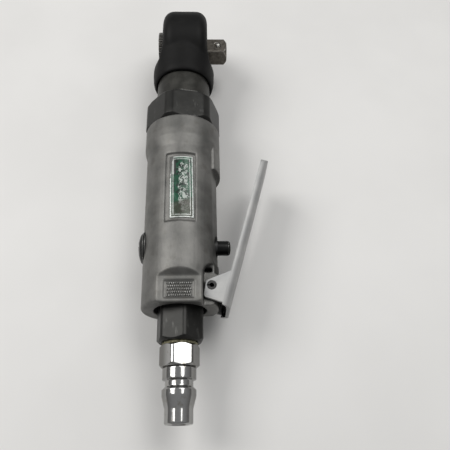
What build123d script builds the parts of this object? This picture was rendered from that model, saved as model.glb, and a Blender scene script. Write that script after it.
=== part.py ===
"""Air ratchet: a straight-bodied pneumatic ratchet wrench with a side lever throttle.

Frame, in millimetres: the origin is on the tool's long axis, at the free end of the
air plug.  +Y runs along the tool towards the ratchet head, +X is the side of the square
drive and of the throttle lever, and +Z is up, towards the nameplate.
"""
from build123d import *
from math import acos, cos, hypot, pi, radians, sin, sqrt, tan
import os

os.makedirs("parts", exist_ok=True)

# ---------------------------------------------------------------- driving dimensions
# clearances
running_gap = 0.05        # radial, shaft in its bore
slide_gap = 0.10          # each side, flat sliding faces
side_gap = 0.30           # between pieces that pass each other

# air plug (quick coupler), from its free end
plug_bore_radius = 3.75
plug_nose_radius = 5.35
plug_nose_length = 5.4
plug_bulge_radius = 6.5
plug_bulge_start = 9.9
plug_bulge_end = 12.0
plug_groove_radius = 5.3
plug_groove_start = 13.2
plug_groove_end = 15.2
plug_collar_radius = 6.45
plug_hex_start = 20.2
plug_hex_flats = 14.0
plug_hex_length = 8.2
plug_thread_radius = 6.55
plug_thread_length = 9.5
plug_hex_turn = 12.0      # degrees about the tool axis

# inlet bushing
tape_length = 1.0
inlet_hex_flats = 17.0
inlet_hex_length = 15.8
inlet_hex_turn = -16.0
inlet_thread_radius = 8.25
inlet_thread_length = 10.6
inlet_bore_radius = 4.6
hex_corner_trim = 0.12    # taken off the hexagons' corners by turning
inlet_washer_thickness = 1.8

# housing
recess_radius = 10.55
recess_depth = 5.0
body_rear_radius = 15.7
body_radius = 16.1
collar_radius = 17.2
collar_length = 10.4
collar_ramp = 4.5
grip_length = 75.1        # rear face to the start of the front collar
rear_round = 1.0
motor_bore_radius = 13.2
nose_radius = 14.5
nose_length = 6.5

# side flats under the lever
flat_crease_x = 13.1
flat_crease_z = 9.3
flat_ridge_x = 15.4
flat_front_gap = 13.6     # flats stop this far behind the front collar

# label pocket and nameplate pad
pocket_length = 32.7
pocket_width = 12.9
pocket_depth = 0.9
pocket_front_gap = 9.4    # behind the front collar's step
label_margin = 0.7
label_thickness = 0.3
pad_height = 13.3
pad_length = 10.6
plate_recess_width = 12.1
plate_recess_length = 7.3
plate_recess_depth = 0.6
plate_recess_inset = 1.5

# lever, its pin and the tongue it straddles
lever_pin_x = 12.6
lever_pin_back = 7.8      # ahead of the housing's rear face
lever_pin_radius = 1.9
lever_pin_hole_radius = 0.9
tongue_half = 7.8
tongue_nose_radius = 5.6
notch_x = 9.2
notch_length = 17.0
notch_corner = 5.0
notch_well_z = 4.0        # floor of the deeper well ahead of the tongue
notch_well_reach = 3.6     # from the notch's wall, towards the lever
lever_sheet = 1.3
lever_half_width = 9.5
lever_back_offset = 9.0   # outer face of the web from the pin
lever_length = 64.2       # pin to tip
lever_tail = 6.5          # pin to the web's rear edge
lever_edge_radius = 3.2
lever_tip_radius = 3.5
lever_open_angle = 15.9
ear_reach = 2.7           # past the pin, towards the tool axis

# throttle valve, across the housing
valve_ahead = 27.4        # valve axis, ahead of the housing's rear face
valve_chamber_radius = 5.0
valve_chamber_left = -9.0
valve_chamber_right = 10.0
valve_cap_radius = 7.1
valve_cap_seat_x = -14.3
valve_cap_dome = 3.5
valve_cap_thread_radius = 6.2
cap_seal_thickness = 0.4
cap_slot_half = 0.7
cap_slot_depth = 1.2
valve_seat_x = 2.0
valve_seat_thickness = 2.0
valve_seat_bore = 3.4
valve_button_radius = 3.15
valve_button_end = 20.9
valve_stem_radius = 2.0
valve_bush_radius = 4.7
poppet_radius = 4.3
poppet_thickness = 1.9
valve_disc_thickness = 1.0
seat_gap = 0.1
valve_wire = 0.7
valve_coil_radius = 3.0
valve_coil_turns = 5
gallery_radius = 3.2
gallery_x = -2.5
motor_port_radius = 1.8
motor_port_x = 9.0
exhaust_hole_radius = 0.95
exhaust_hole_circle = 9.45
top_exhaust_angles = (-30, 0, 30)       # degrees from the top
bottom_exhaust_angles = (150, 180, 210)

# vane motor
motor_start_gap = 37.0    # rear face of the housing to the motor bore's floor
end_plate_length = 6.0
liner_length = 23.0
liner_wall = 1.9           # at its thinnest
liner_offset = 1.1
rotor_gap = 0.1            # to the bore at its nearest
rotor_end_gap = 0.1
rotor_rear_shaft_radius = 3.0
rotor_front_shaft_radius = 4.1
vane_count = 5
vane_thickness = 1.2
vane_slot_floor = 4.8
rear_bearing_radius = 6.5
front_bearing_radius = 8.0
bearing_length = 4.0

# planetary gears
ring_wall = 1.265          # behind the ring gear's teeth
sun_teeth = 10
planet_teeth = 11
planet_count = 3
pressure_angle = 25.0
gear_addendum = 0.8       # in modules
gear_dedendum = 1.05
flank_gap = 0.03
thrust_plate_length = 1.2
planet_length = 9.0
planet_pin_radius = 1.5
carrier_length = 6.2
carrier_gap = 0.4
ring_relief_wall = 1.25
carrier_side_gap = 1.55

# crankshaft
crank_shaft_radius = 5.5
crank_throw = 1.4
crank_pin_radius = 2.4
crank_bearing_radius = 8.4
crank_bearing_length = 14.0
crank_needle_radius = 1.05
crank_needle_count = 15
drive_ball_radius = 3.6

# clamp nut
nut_flats = 32.0
nut_corner_radius = 17.6
nut_length = 14.8
nut_turn = 11.0
nut_gap = 0.3

# ratchet head
neck_radius = 12.9
head_flange_length = 2.8
neck_length = 21.2        # head flange to the start of the head's flare
drive_ahead = 48.7        # drive axis, ahead of the head's rear face
head_radius = 17.1
head_left = 8.6           # thickness on the knob's side of the tool axis
head_right = 10.4         # thickness on the drive's side
head_edge = 1.9
yoke_thickness = 10.0
yoke_radius = 13.3
yoke_tooth_count = 45
yoke_tip_radius = 9.6
yoke_root_radius = 10.3
yoke_prong_half = 7.2
ball_back = 18.2          # drive ball, behind the drive axis

# rubber head cover
cover_thickness_side = 1.6
cover_thickness_rim = 2.4
cover_bulb_radius = 15.3
cover_lip_radius = 14.2
cover_edge = 5.5           # rounding of the boot's rim
cover_lip_back = 1.0       # lip, behind the end of the neck

# anvil (square drive) and reverser
drive_square = 9.53
drive_square_corner = 0.9
drive_square_start = 12.2
drive_square_end = 22.1
anvil_radius = 9.3
anvil_shoulder_x = 6.95
anvil_shoulder_radius = 7.2
anvil_bore_radius = 4.6
washer_radius = 10.5
washer_thickness = 0.6
ring_radius = 11.15
ring_thickness = 1.0
detent_ball_radius = 1.6
detent_ball_x = 17.4
detent_ball_height = 4.0
pawl_pivot_radius = 7.0
pawl_tip_radius = 8.7
pawl_inner_radius = 5.6
pawl_half_span = 48.0
pawl_half_width = 4.6
pawl_tilt = 8.0
pawl_notch_insets = (5.0, 13.0)   # degrees in from each end
pawl_pin_radius = 1.2
knob_radius = 9.4
knob_thickness = 2.4
knob_gap = 0.15
knob_hub_radius = 7.6
knob_half_turn = 20.0
knob_flute_count = 24
knob_flute_radius = 0.55
knob_dish_radius = 7.4
knob_dish_depth = 0.9
knob_bar_half = 1.6       # pointer bar across the knob
knob_bar_reach = 6.8
knob_hub_end_x = 2.5
plunger_radius = 1.0
plunger_start = 2.6       # outwards from the drive axis
plunger_end = 5.1
plunger_well_floor = 0.4
ball_hole_floor = -2.0

# ---------------------------------------------------------------- derived stations
tape_start = plug_hex_start + plug_hex_length
inlet_start = tape_start + tape_length
inlet_hex_end = inlet_start + inlet_hex_length
recess_floor = inlet_hex_end + inlet_washer_thickness
rear_face = recess_floor - recess_depth
inlet_end = inlet_hex_end + inlet_washer_thickness + inlet_thread_length
collar_start = rear_face + grip_length
housing_front = collar_start + collar_length
nose_end = housing_front + nose_length
valve_y = rear_face + valve_ahead
lever_pin_y = rear_face + lever_pin_back
pad_end = rear_face + pad_length
flats_start = rear_face + notch_length + 1.0
flats_end = collar_start - flat_front_gap
pocket_end = collar_start - pocket_front_gap
pocket_start = pocket_end - pocket_length
pocket_radius = body_radius - pocket_depth

motor_start = rear_face + motor_start_gap
liner_start = motor_start + end_plate_length
liner_end = liner_start + liner_length
front_plate_end = liner_end + end_plate_length
gear_start = front_plate_end + thrust_plate_length
planet_start = gear_start + 0.7
planet_end = planet_start + planet_length
carrier_start = planet_end + carrier_gap
carrier_end = carrier_start + carrier_length
head_rear = nose_end

liner_bore_radius = motor_bore_radius - liner_wall - liner_offset
rotor_radius = liner_bore_radius - liner_offset - rotor_gap
ring_relief_radius = motor_bore_radius - ring_relief_wall
carrier_radius = ring_relief_radius - carrier_side_gap
ring_teeth = sun_teeth + 2 * planet_teeth
gear_module = (motor_bore_radius - ring_wall) / (ring_teeth / 2 + gear_dedendum)
sun_pitch = gear_module * sun_teeth / 2
planet_pitch = gear_module * planet_teeth / 2
ring_pitch = gear_module * ring_teeth / 2
planet_orbit = sun_pitch + planet_pitch

flange_end = head_rear + head_flange_length
nut_start = housing_front + nut_gap
nut_end = nut_start + nut_length
nut_lip_start = flange_end
neck_end = flange_end + neck_length
drive_y = head_rear + drive_ahead
drive_back = drive_y - yoke_radius
ball_y = drive_y - ball_back
crank_end = neck_end - 2.0
pin_end = ball_y + drive_ball_radius - 0.1
cavity_start = crank_end + 0.9
slot_half = yoke_thickness / 2 + slide_gap
prong_gap = drive_ball_radius + crank_throw + 0.15
washer_x = anvil_shoulder_x + 0.05
ring_x = washer_x + washer_thickness + 0.2
cover_start = neck_end - cover_lip_back
anvil_back_x = -(head_left - 0.2)
knob_outer_x = -(head_left + cover_thickness_side + knob_gap + knob_thickness)


# ---------------------------------------------------------------- construction helpers
def about_y(y, x=0, z=0):
    """Sketch plane square to the tool axis: local x is +X, the normal is +Y."""
    return Plane(origin=(x, y, z), x_dir=(1, 0, 0), z_dir=(0, 1, 0))


def about_x(x, y=0, z=0):
    """Sketch plane square to the drive axis: local x is +Y, local y is +Z."""
    return Plane(origin=(x, y, z), x_dir=(0, 1, 0), z_dir=(1, 0, 0))


def rod_y(radius, start, end, x=0, z=0):
    return extrude(about_y(start, x, z) * Circle(radius), amount=end - start)


def rod_x(radius, start, end, y=0, z=0):
    return extrude(about_x(start, y, z) * Circle(radius), amount=end - start)


def rod_z(radius, start, end, x=0, y=0):
    return Pos(x, y, start) * extrude(Circle(radius), amount=end - start)


def tube_y(outer, inner, start, end, x=0, z=0):
    return rod_y(outer, start, end, x, z) - rod_y(inner, start, end, x, z)


def tube_x(outer, inner, start, end, y=0, z=0):
    return rod_x(outer, start, end, y, z) - rod_x(inner, start, end, y, z)


def block(low, high):
    size = [b - a for a, b in zip(low, high)]
    return Pos(*low) * Box(*size, align=(Align.MIN,) * 3)


def turned_y(*points):
    """Solid turned about the tool axis from (radius, station) corners."""
    return revolve(make_face(Polyline(*points, close=True)), Axis.Y)


def turned_x(*points, y=0, z=0):
    """Solid turned about an axis along X from (station, radius) corners."""
    return Pos(0, y, z) * revolve(make_face(Polyline(*points, close=True)), Axis.X)


def hex_y(flats, start, end, turn):
    sketch = Rot(0, 0, turn) * RegularPolygon(flats / 2, 6, major_radius=False)
    return extrude(about_y(start) * sketch, amount=end - start)


def turned_hex_y(flats, corner, start, end, turn, rear, front):
    """Hexagonal bar whose corners are turned to a radius, with end chamfers."""
    envelope = turned_y(
        (0, start),
        (corner - rear, start),
        (corner, start + rear),
        (corner, end - front),
        (corner - front, end),
        (0, end),
    )
    return hex_y(flats, start, end, turn) & envelope


def coil(radius, wire, length, turns):
    """Compression spring standing on the XY plane, with its axis along Z."""
    path = Helix(pitch=(length - 2 * wire) / turns, height=length - 2 * wire, radius=radius)
    start = path @ 0
    section = Plane(origin=start, z_dir=path % 0) * Circle(wire / 2)
    return Pos(0, 0, wire) * sweep(section, path=path)


def gear_outline(teeth, tip, root, gap):
    """Involute outline; a positive gap thins each tooth, a negative one widens it."""
    pitch = gear_module * teeth / 2
    base = pitch * cos(radians(pressure_angle))
    slope = tan(radians(pressure_angle)) - radians(pressure_angle)
    half_tooth = pi / (2 * teeth) - gap / pitch
    steps = 5
    start = max(root, base)
    radii = [start + (tip - start) * i / (steps - 1) for i in range(steps)]
    flank = []
    if root < base:
        flank.append((root, half_tooth + slope))
    for radius in radii:
        angle = acos(min(1.0, base / radius))
        flank.append((radius, half_tooth + slope - (tan(angle) - angle)))
    points = []
    for tooth in range(teeth):
        middle = 2 * pi * tooth / teeth
        for radius, half in flank:
            points.append((radius * cos(middle - half), radius * sin(middle - half)))
        for radius, half in reversed(flank):
            points.append((radius * cos(middle + half), radius * sin(middle + half)))
    return make_face(Polyline(*points, close=True))


def ball_bearing(outer, inner, start, end, count):
    """Outer ring, inner ring and balls, as separate solids about the tool axis."""
    wall = (outer - inner) * 0.3
    middle = (outer + inner) / 2
    ball = (outer - inner) * 0.2 - 0.02
    races = [tube_y(outer, outer - wall, start, end), tube_y(inner + wall, inner, start, end)]
    balls = []
    for i in range(count):
        angle = 2 * pi * i / count
        place = Pos(middle * cos(angle), (start + end) / 2, middle * sin(angle))
        balls.append(place * Sphere(ball))
    return Compound(children=races + balls)


parts = {}


# ---------------------------------------------------------------- air inlet
def coupler_plug():
    shape = turned_y(
        (0, 0),
        (plug_nose_radius - 0.4, 0),
        (plug_nose_radius, 0.5),
        (plug_nose_radius, plug_nose_length),
        (plug_bulge_radius, plug_bulge_start),
        (plug_bulge_radius, plug_bulge_end),
        (plug_groove_radius, plug_groove_start),
        (plug_groove_radius, plug_groove_end),
        (plug_collar_radius, plug_groove_end + 0.5),
        (plug_collar_radius, plug_hex_start - 0.5),
        (plug_collar_radius - 0.5, plug_hex_start),
        (0, plug_hex_start),
    )
    corner = plug_hex_flats / sqrt(3) - hex_corner_trim
    shape += turned_hex_y(
        plug_hex_flats, corner, plug_hex_start, tape_start, plug_hex_turn, 0.8, 0.8
    )
    shape += rod_y(plug_thread_radius, tape_start, tape_start + tape_length + plug_thread_length)
    end = tape_start + tape_length + plug_thread_length
    shape -= rod_y(plug_bore_radius, 0, end)
    mouth = turned_y(
        (0, 0), (plug_bore_radius + 0.4, 0), (plug_bore_radius, 0.6), (0, 0.6)
    )
    return shape - mouth


def inlet_bushing():
    corner = inlet_hex_flats / sqrt(3) - hex_corner_trim
    shape = turned_hex_y(
        inlet_hex_flats, corner, inlet_start, inlet_hex_end, inlet_hex_turn, 1.3, 0.6
    )
    shape += rod_y(inlet_thread_radius, inlet_hex_end, inlet_end)
    shape -= rod_y(plug_thread_radius, inlet_start, inlet_start + plug_thread_length + 1.5)
    return shape - rod_y(inlet_bore_radius, inlet_start, inlet_end)


def air_strainer():
    """Fine mesh cup held in the bushing's bore, closed towards the throttle."""
    wall = 0.35
    start = inlet_end - 8.0
    cup = rod_y(inlet_bore_radius, start, inlet_end)
    cup -= rod_y(inlet_bore_radius - wall, start, inlet_end - wall)
    for row in range(3):
        for i in range(8):
            hole = rod_x(0.45, 0, inlet_bore_radius + 1, start + 2 + 2 * row, 0)
            cup -= Rot(0, 45 * i, 0) * hole
    return cup


parts["coupler_plug"] = coupler_plug()
parts["thread_tape"] = tube_y(plug_thread_radius + 0.6, plug_thread_radius, tape_start, inlet_start)
parts["inlet_bushing"] = inlet_bushing()
parts["inlet_washer"] = tube_y(
    inlet_hex_flats / 2 + 0.9, inlet_thread_radius, inlet_hex_end, recess_floor
)
parts["air_strainer"] = air_strainer()


# ---------------------------------------------------------------- housing
def side_flats():
    """Material outside the two flats that lean together under the lever."""
    slope = (flat_ridge_x - flat_crease_x) / flat_crease_z
    reach = flat_crease_z + 6
    corners = [
        (flat_ridge_x, 0),
        (flat_ridge_x - slope * reach, reach),
        (collar_radius + 3, reach),
        (collar_radius + 3, -reach),
        (flat_ridge_x - slope * reach, -reach),
    ]
    face = about_y(flats_start) * make_face(Polyline(*corners, close=True))
    return extrude(face, amount=flats_end - flats_start)


def lever_notch(sign):
    """Rear corner cut that clears one ear of the lever, with a well ahead of the tongue."""
    end = rear_face + notch_length
    outer = body_radius + 6
    outline = Polyline(
        (notch_x, rear_face - 1),
        (outer, rear_face - 1),
        (outer, end),
        (notch_x + notch_corner, end),
    )
    corner = RadiusArc((notch_x + notch_corner, end), (notch_x, end - notch_corner), -notch_corner)
    side = Line((notch_x, end - notch_corner), (notch_x, rear_face - 1))
    cut = extrude(make_face([outline, corner, side]), amount=body_radius + 2 - tongue_half)
    place = Pos(0, 0, tongue_half if sign > 0 else -body_radius - 2)
    well = block(
        (notch_x + 0.4, lever_pin_y + tongue_nose_radius + 0.4, notch_well_z),
        (notch_x + notch_well_reach, end - 1.2, tongue_half + 1),
    )
    return place * cut + (well if sign > 0 else mirror(well, Plane.XY))


def nameplate_pad():
    """Flat cut on the top of the rear end, running out up a short ramp."""
    ramp = body_radius + 1 - pad_height
    corners = [
        (rear_face - 1, pad_height),
        (pad_end, pad_height),
        (pad_end + ramp, pad_height + ramp),
        (rear_face - 1, pad_height + ramp),
    ]
    side = about_x(-body_radius) * make_face(Polyline(*corners, close=True))
    return extrude(side, amount=2 * body_radius)


def motor_housing():
    tongue = rod_z(tongue_nose_radius, -tongue_half, tongue_half, lever_pin_x, lever_pin_y)
    tongue += block(
        (inlet_thread_radius + 1, lever_pin_y - tongue_nose_radius, -tongue_half),
        (lever_pin_x, lever_pin_y + tongue_nose_radius, tongue_half),
    )
    front_rib = rod_y(collar_radius, flats_end, collar_start) & block(
        (flat_crease_x - 4, flats_end, -flat_crease_z),
        (collar_radius, collar_start, flat_crease_z),
    )
    shape = turned_y(
        (0, rear_face),
        (body_rear_radius - rear_round, rear_face),
        (body_rear_radius - 0.3 * rear_round, rear_face + 0.3 * rear_round),
        (body_rear_radius, rear_face + rear_round),
        (body_radius, collar_start - collar_ramp),
        (collar_radius, collar_start),
        (collar_radius, housing_front),
        (nose_radius, housing_front),
        (nose_radius, nose_end),
        (0, nose_end),
    )
    shape = shape - side_flats() + tongue + front_rib
    shape = shape - lever_notch(1) - lever_notch(-1) - nameplate_pad()

    pocket = tube_y(body_radius + 2, pocket_radius, pocket_start, pocket_end) & block(
        (-pocket_width / 2, pocket_start, 0),
        (pocket_width / 2, pocket_end, body_radius + 2),
    )
    shape -= pocket
    plate_start = rear_face + plate_recess_inset
    shape -= block(
        (-plate_recess_width / 2, plate_start, pad_height - plate_recess_depth),
        (plate_recess_width / 2, plate_start + plate_recess_length, pad_height + 1),
    )

    shape -= rod_y(recess_radius, rear_face, recess_floor)
    shape -= rod_y(inlet_thread_radius, recess_floor, inlet_end)
    shape -= rod_y(gallery_radius, inlet_end, valve_y, gallery_x)
    shape -= rod_y(motor_bore_radius, motor_start, nose_end)
    shape -= rod_y(motor_port_radius, valve_y, motor_start, motor_port_x)
    for angle in top_exhaust_angles + bottom_exhaust_angles:
        x = exhaust_hole_circle * sin(radians(angle))
        z = exhaust_hole_circle * cos(radians(angle))
        shape -= rod_y(exhaust_hole_radius, recess_floor, motor_start, x, z)

    shape -= rod_x(valve_chamber_radius, valve_chamber_left, valve_chamber_right, valve_y)
    shape -= rod_x(valve_cap_thread_radius, valve_cap_seat_x, valve_chamber_left, valve_y)
    shape -= rod_x(valve_cap_radius + side_gap, -body_radius - 2, valve_cap_seat_x, valve_y)
    shape -= rod_x(valve_bush_radius, valve_chamber_right, body_radius + 1, valve_y)
    shape -= rod_z(lever_pin_radius, -tongue_half, tongue_half, lever_pin_x, lever_pin_y)
    return shape


def data_label():
    half = pocket_width / 2 - label_margin
    sheet = tube_y(
        pocket_radius + label_thickness,
        pocket_radius,
        pocket_start + label_margin,
        pocket_end - label_margin,
    )
    return sheet & block((-half, pocket_start, 0), (half, pocket_end, body_radius + 2))


parts["motor_housing"] = motor_housing()
parts["data_label"] = data_label()


# ---------------------------------------------------------------- throttle valve
bush_end = flat_ridge_x - 0.1
poppet_left = valve_seat_x - seat_gap - valve_disc_thickness - poppet_thickness
spring_length = poppet_left - valve_chamber_left


def valve_cap():
    seat = valve_cap_seat_x - cap_seal_thickness
    dome = turned_x(
        (seat, 0),
        (seat, valve_cap_radius),
        (seat - 0.9, valve_cap_radius),
        (seat - 2.0, valve_cap_radius - 1.1),
        (seat - valve_cap_dome + 0.7, valve_cap_radius * 0.55),
        (seat - valve_cap_dome + 0.3, 0),
        y=valve_y,
    )
    dome += rod_x(valve_cap_thread_radius, seat, valve_chamber_left, valve_y)
    tip = seat - valve_cap_dome
    slot = block(
        (tip, valve_y - cap_slot_half, -valve_cap_radius),
        (tip + cap_slot_depth, valve_y + cap_slot_half, valve_cap_radius),
    )
    return dome - slot


def valve_stem():
    return turned_x(
        (poppet_left, 0),
        (poppet_left, poppet_radius),
        (poppet_left + poppet_thickness, poppet_radius),
        (poppet_left + poppet_thickness, valve_stem_radius),
        (valve_seat_x + valve_seat_thickness + 1.2, valve_stem_radius),
        (valve_seat_x + valve_seat_thickness + 2.4, valve_button_radius),
        (valve_button_end - 0.9, valve_button_radius),
        (valve_button_end - 0.25, valve_button_radius - 0.6),
        (valve_button_end, valve_button_radius * 0.4),
        (valve_button_end, 0),
        y=valve_y,
    )


parts["valve_cap"] = valve_cap()
parts["valve_cap_seal"] = tube_x(
    valve_cap_radius - 0.1,
    valve_cap_thread_radius,
    valve_cap_seat_x - cap_seal_thickness,
    valve_cap_seat_x,
    valve_y,
)
parts["valve_seat"] = tube_x(
    valve_chamber_radius,
    valve_seat_bore,
    valve_seat_x,
    valve_seat_x + valve_seat_thickness,
    valve_y,
)
parts["valve_stem"] = valve_stem()
parts["valve_disc"] = tube_x(
    poppet_radius - 0.1,
    valve_stem_radius,
    poppet_left + poppet_thickness,
    poppet_left + poppet_thickness + valve_disc_thickness,
    valve_y,
)
parts["button_bush"] = tube_x(
    valve_bush_radius, valve_button_radius + running_gap, valve_chamber_right, bush_end, valve_y
)
parts["stem_seal"] = tube_x(
    valve_bush_radius - 0.2,
    valve_button_radius + running_gap,
    valve_chamber_right - 1.1,
    valve_chamber_right,
    valve_y,
)
parts["valve_spring"] = (
    Pos(valve_chamber_left, valve_y, 0)
    * Rot(0, 90, 0)
    * coil(valve_coil_radius, valve_wire, spring_length, valve_coil_turns)
)


# ---------------------------------------------------------------- throttle lever
def lever_ear():
    """One side plate, in the lever's own frame with the pin at the origin."""
    inner = lever_back_offset - lever_edge_radius
    corners = [
        (-ear_reach, 1.2),
        (-ear_reach + 0.8, -4.7),
        (-ear_reach + 1.6, -5.3),
        (inner, -5.6),
        (inner, 7.8),
    ]
    plate = extrude(make_face(Polyline(*corners, close=True)), amount=lever_sheet)
    return plate - Cylinder(lever_pin_radius + running_gap, 3 * lever_sheet)


def lever_tip_corner():
    """Waste outside the rounded corner at the lever's tip, in the lever's own frame."""
    start = lever_length - lever_tip_radius
    edge = lever_half_width - lever_tip_radius
    waste = block((0, start, edge), (lever_back_offset + 1, lever_length + 1, lever_half_width + 1))
    return waste - rod_x(lever_tip_radius, -1, lever_back_offset + 2, start, edge)


def throttle_lever():
    """Pressed channel: a flat web with rolled edges, and two ears at the pin."""
    outer = Plane.XZ * Pos(lever_back_offset - lever_edge_radius, 0) * Rectangle(
        2 * lever_edge_radius, 2 * lever_half_width
    )
    shell = extrude(outer, amount=-(lever_length + lever_tail))
    long_edges = shell.edges().filter_by(Axis.Y).sort_by(Axis.X)[-2:]
    shell = fillet(long_edges, lever_edge_radius - 0.01)
    inner_half = lever_half_width - lever_sheet
    core = Plane.XZ * Pos(lever_back_offset - lever_sheet - lever_edge_radius, 0) * Rectangle(
        2 * lever_edge_radius, 2 * inner_half
    )
    core = extrude(core, amount=-(lever_length + lever_tail))
    core_edges = core.edges().filter_by(Axis.Y).sort_by(Axis.X)[-2:]
    core = fillet(core_edges, lever_edge_radius - lever_sheet)
    keep = block(
        (lever_back_offset - lever_edge_radius, 0, -lever_half_width),
        (lever_back_offset, lever_length + lever_tail, lever_half_width),
    )
    web = (shell - core) & keep
    web = Pos(0, -lever_tail, 0) * web
    corner = lever_tip_corner()
    ear = lever_ear()
    web = web - corner - mirror(corner, Plane.XY)
    lever = web + Pos(0, 0, lever_half_width - lever_sheet) * ear
    lever += Pos(0, 0, -lever_half_width) * ear
    return Pos(lever_pin_x, lever_pin_y, 0) * Rot(0, 0, -lever_open_angle) * lever


def lever_pin():
    """Rolled spring pin with its slit facing the tool axis."""
    length = lever_half_width - 0.1
    pin = rod_z(lever_pin_radius, -length, length, lever_pin_x, lever_pin_y)
    pin -= rod_z(lever_pin_hole_radius, -length, length, lever_pin_x, lever_pin_y)
    slit = block(
        (lever_pin_x - lever_pin_radius - 1, lever_pin_y - 0.25, -length),
        (lever_pin_x, lever_pin_y + 0.25, length),
    )
    return pin - slit


parts["throttle_lever"] = throttle_lever()
parts["lever_pin"] = lever_pin()


# ---------------------------------------------------------------- vane motor
def liner():
    body = rod_y(motor_bore_radius, liner_start, liner_end)
    return body - rod_y(liner_bore_radius, liner_start, liner_end, 0, -liner_offset)


def rear_plate():
    plate = rod_y(motor_bore_radius, motor_start, liner_start)
    plate -= rod_y(rear_bearing_radius, motor_start, motor_start + bearing_length + 0.2)
    plate -= rod_y(rotor_rear_shaft_radius + side_gap, motor_start, liner_start)
    plate -= rod_y(motor_port_radius, motor_start, liner_start, motor_port_x)
    for angle in bottom_exhaust_angles:
        x = exhaust_hole_circle * sin(radians(angle))
        z = exhaust_hole_circle * cos(radians(angle))
        plate -= rod_y(exhaust_hole_radius, motor_start, liner_start, x, z)
    return plate


def front_plate():
    plate = rod_y(motor_bore_radius, liner_end, front_plate_end)
    plate -= rod_y(
        front_bearing_radius, front_plate_end - bearing_length - 0.2, front_plate_end
    )
    return plate - rod_y(rotor_front_shaft_radius + side_gap, liner_end, front_plate_end)


def vane_slot(i, grow):
    """Radial slot or blade number i; grow widens it and deepens it for clearance."""
    floor = vane_slot_floor - grow
    half = vane_thickness / 2 + grow
    start = liner_start + rotor_end_gap
    end = liner_end - rotor_end_gap
    blade = block((floor, start, -half), (rotor_radius - side_gap / 3 + 3 * grow, end, half))
    return Rot(0, 360 * i / vane_count, 0) * blade


def rotor():
    start = liner_start + rotor_end_gap
    end = liner_end - rotor_end_gap
    body = rod_y(rotor_radius, start, end)
    for i in range(vane_count):
        body -= vane_slot(i, slide_gap)
    body += rod_y(rotor_rear_shaft_radius, motor_start + 0.4, start)
    pinion_start = front_plate_end + 0.2
    body += rod_y(rotor_front_shaft_radius, end, pinion_start)
    tip = sun_pitch + gear_addendum * gear_module
    root = sun_pitch - gear_dedendum * gear_module
    outline = gear_outline(sun_teeth, tip, root, flank_gap)
    body += extrude(about_y(pinion_start) * outline, amount=planet_end - pinion_start)
    return body


parts["cylinder_liner"] = liner()
parts["rear_plate"] = rear_plate()
parts["front_plate"] = front_plate()
parts["rotor"] = rotor()
for i in range(vane_count):
    parts[f"vane_{i + 1}"] = vane_slot(i, 0)
parts["rear_bearing"] = ball_bearing(
    rear_bearing_radius,
    rotor_rear_shaft_radius + running_gap,
    motor_start + 0.2,
    motor_start + 0.2 + bearing_length,
    8,
)
parts["front_bearing"] = ball_bearing(
    front_bearing_radius,
    rotor_front_shaft_radius + running_gap,
    front_plate_end - 0.2 - bearing_length,
    front_plate_end - 0.2,
    10,
)


# ---------------------------------------------------------------- planetary gears
def ring_gear():
    tip = ring_pitch - gear_addendum * gear_module
    root = ring_pitch + gear_dedendum * gear_module
    spaces = Rot(0, 0, 180 / ring_teeth) * gear_outline(ring_teeth, root, tip, -flank_gap)
    relief_start = carrier_start + 0.5
    body = rod_y(motor_bore_radius, gear_start, nose_end)
    body -= extrude(about_y(gear_start) * spaces, amount=relief_start - gear_start)
    return body - rod_y(ring_relief_radius, relief_start, nose_end)


def planet_angle(i):
    return 90 + 360 * i / planet_count


def planet_centre(i):
    angle = radians(planet_angle(i))
    return planet_orbit * cos(angle), -planet_orbit * sin(angle)


def planet_gear(i):
    """Planet number i, turned so that its teeth mesh with the sun and the ring."""
    tip = planet_pitch + gear_addendum * gear_module
    root = planet_pitch - gear_dedendum * gear_module
    outline = gear_outline(planet_teeth, tip, root, flank_gap)
    orbit = planet_angle(i)
    phase = -orbit * sun_teeth / 360 + 0.5
    turn = orbit + 180 - 360 / planet_teeth * phase
    x, z = planet_centre(i)
    outline = Rot(0, 0, turn) * outline - Circle(planet_pin_radius + running_gap)
    return extrude(about_y(planet_start, x, z) * outline, amount=planet_length)


def crankshaft():
    body = rod_y(carrier_radius, carrier_start, carrier_end)
    for i in range(planet_count):
        x, z = planet_centre(i)
        body -= rod_y(planet_pin_radius, carrier_start, carrier_end, x, z)
    body += rod_y(crank_shaft_radius, carrier_end, crank_end)
    return body + rod_y(crank_pin_radius, crank_end, pin_end, crank_throw)


def crank_bearing():
    """Drawn-cup needle bearing: the cup and its loose needles."""
    start = head_rear + 2.0
    end = start + crank_bearing_length
    orbit = crank_shaft_radius + running_gap + crank_needle_radius
    pieces = [tube_y(crank_bearing_radius, orbit + crank_needle_radius + 0.02, start, end)]
    for i in range(crank_needle_count):
        angle = 2 * pi * i / crank_needle_count
        x, z = orbit * cos(angle), orbit * sin(angle)
        pieces.append(rod_y(crank_needle_radius, start + 0.8, end - 0.8, x, z))
    return Compound(children=pieces)


parts["thrust_plate"] = tube_y(
    motor_bore_radius, rotor_front_shaft_radius + 0.9, front_plate_end, gear_start
)
parts["ring_gear"] = ring_gear()
for i in range(planet_count):
    x, z = planet_centre(i)
    parts[f"planet_gear_{i + 1}"] = planet_gear(i)
    parts[f"planet_pin_{i + 1}"] = rod_y(planet_pin_radius, planet_start - 0.3, carrier_end, x, z)
parts["crankshaft"] = crankshaft()
parts["thrust_washer"] = tube_y(
    ring_relief_radius, crank_shaft_radius + side_gap, carrier_end + carrier_gap, head_rear
)
parts["crank_bearing"] = crank_bearing()
parts["drive_bushing"] = (
    Pos(crank_throw, ball_y, 0) * Sphere(drive_ball_radius)
    & rod_y(drive_ball_radius, ball_y - 3.2, ball_y + 3.2, crank_throw)
) - rod_y(crank_pin_radius + running_gap, ball_y - 4, ball_y + 4, crank_throw)


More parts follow.
